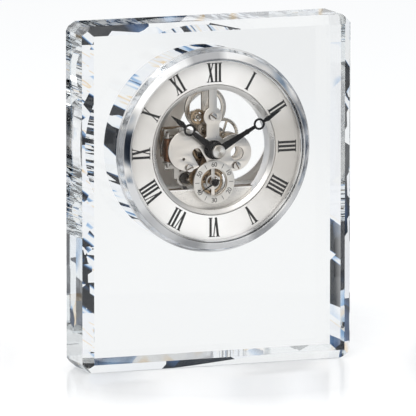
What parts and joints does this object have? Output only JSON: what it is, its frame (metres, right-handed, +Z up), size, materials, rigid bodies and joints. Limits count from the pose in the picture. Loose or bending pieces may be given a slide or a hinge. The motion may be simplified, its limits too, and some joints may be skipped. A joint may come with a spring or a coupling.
{
  "type": "crystal table clock",
  "caption": "Upright bevelled glass block with a round skeleton quartz clock set into it, roman dial, domed lens and small seconds dial.",
  "frame": {"origin": "middle of the block's foot, on the surface it stands on", "axes": "+Z up, +X to the right as seen from the front, the dial faces -Y"},
  "size_m": [0.125, 0.0392, 0.152],
  "materials": {
    "crystal": "polished cut crystal",
    "lens": "clear lens",
    "chrome": "polished chrome",
    "satin_metal": "satin nickel",
    "dial": "satin silver",
    "plate_steel": "plain steel",
    "brass": "cut brass",
    "copper": "lacquered copper wire",
    "black": "black lacquer",
    "knob": "moulded",
    "band": "soft",
    "board": "solder mask",
    "tray": "moulded",
    "cell": "plain sleeve"
  },
  "bodies": {
    "block": {"crystal_block": "crystal"},
    "insert": {"retaining_band": "band", "insert_can": "satin_metal", "bezel": "chrome", "lens_spacer": "chrome", "lens": "lens", "dial_ring": "dial", "dial_lip": "chrome", "rear_window": "lens", "front_plate": "satin_metal", "back_plate": "plate_steel", "plate_pillar_top": "plate_steel", "plate_pillar_left": "plate_steel", "plate_pillar_right": "plate_steel", "front_screw_top": "chrome", "front_screw_left": "chrome", "front_screw_right": "chrome", "back_screw_top": "chrome", "back_screw_left": "chrome", "back_screw_right": "chrome", "arm_screw": "chrome", "seconds_dial": "dial", "centre_bush": "black", "coil_bobbin": "plate_steel", "coil_winding": "copper", "stator_plate": "plate_steel", "circuit_board": "board", "quartz_can": "chrome", "battery_box": "tray", "positive_contact": "chrome", "battery_spring": "chrome"},
    "centre_arbor": {"centre_wheel": "brass", "minute_hand": "black", "hand_nut": "chrome", "setting_knob": "knob"},
    "hour_pipe": {"hour_wheel": "brass", "hour_hand": "black"},
    "minute_wheel": {"minute_wheel": "brass"},
    "third_arbor": {"third_wheel": "brass"},
    "seconds_arbor": {"fourth_wheel": "brass", "seconds_hand": "black"},
    "intermediate": {"intermediate_wheel": "brass"},
    "rotor": {"rotor": "plate_steel"},
    "upper_wheel": {"upper_wheel": "brass"},
    "top_pinion": {"top_pinion": "plate_steel"},
    "top_wheel": {"top_wheel": "brass"},
    "battery": {"battery": "cell"}
  },
  "joints": [
    {"name": "insert_slide", "type": "slide", "parent": "block", "child": "insert", "axis": [0, -1, 0], "range_m": [0, 0.045]},
    {"name": "minute_turn", "type": "hinge", "parent": "insert", "child": "centre_arbor", "pos_m": [-0.0035, -0.014, 0.096], "axis": [0, 1, 0], "continuous": true},
    {"name": "hour_turn", "type": "hinge", "parent": "insert", "child": "hour_pipe", "pos_m": [-0.0035, -0.014, 0.096], "axis": [0, 1, 0], "continuous": true},
    {"name": "minute_wheel_turn", "type": "hinge", "parent": "insert", "child": "minute_wheel", "pos_m": [-0.00786, -0.014, 0.09852], "axis": [0, 1, 0], "continuous": true},
    {"name": "third_turn", "type": "hinge", "parent": "insert", "child": "third_arbor", "pos_m": [-0.00146, -0.014, 0.08832], "axis": [0, 1, 0], "continuous": true},
    {"name": "seconds_turn", "type": "hinge", "parent": "insert", "child": "seconds_arbor", "pos_m": [-0.0035, -0.014, 0.0818], "axis": [0, 1, 0], "continuous": true},
    {"name": "intermediate_turn", "type": "hinge", "parent": "insert", "child": "intermediate", "pos_m": [-0.00977, -0.014, 0.08344], "axis": [0, 1, 0], "continuous": true},
    {"name": "rotor_turn", "type": "hinge", "parent": "insert", "child": "rotor", "pos_m": [-0.0143, -0.014, 0.0831], "axis": [0, 1, 0], "continuous": true},
    {"name": "upper_turn", "type": "hinge", "parent": "insert", "child": "upper_wheel", "pos_m": [0.00247, -0.014, 0.10176], "axis": [0, 1, 0], "continuous": true},
    {"name": "top_pinion_turn", "type": "hinge", "parent": "insert", "child": "top_pinion", "pos_m": [-0.00682, -0.014, 0.10474], "axis": [0, 1, 0], "continuous": true},
    {"name": "top_wheel_turn", "type": "hinge", "parent": "insert", "child": "top_wheel", "pos_m": [-0.00906, -0.014, 0.11016], "axis": [0, 1, 0], "continuous": true},
    {"name": "battery_slide", "type": "slide", "parent": "insert", "child": "battery", "axis": [0, 1, 0], "range_m": [0, 0.035]}
  ],
  "couplings": [
    {"joint": "hour_turn", "follows": "minute_turn", "ratio": 0.083333},
    {"joint": "minute_wheel_turn", "follows": "minute_turn", "ratio": -0.33333},
    {"joint": "third_turn", "follows": "minute_turn", "ratio": -8},
    {"joint": "seconds_turn", "follows": "minute_turn", "ratio": 60},
    {"joint": "intermediate_turn", "follows": "minute_turn", "ratio": -300},
    {"joint": "rotor_turn", "follows": "minute_turn", "ratio": 1800},
    {"joint": "upper_turn", "follows": "minute_turn", "ratio": -0.13333},
    {"joint": "top_pinion_turn", "follows": "minute_turn", "ratio": 0.4},
    {"joint": "top_wheel_turn", "follows": "minute_turn", "ratio": -0.28571}
  ]
}
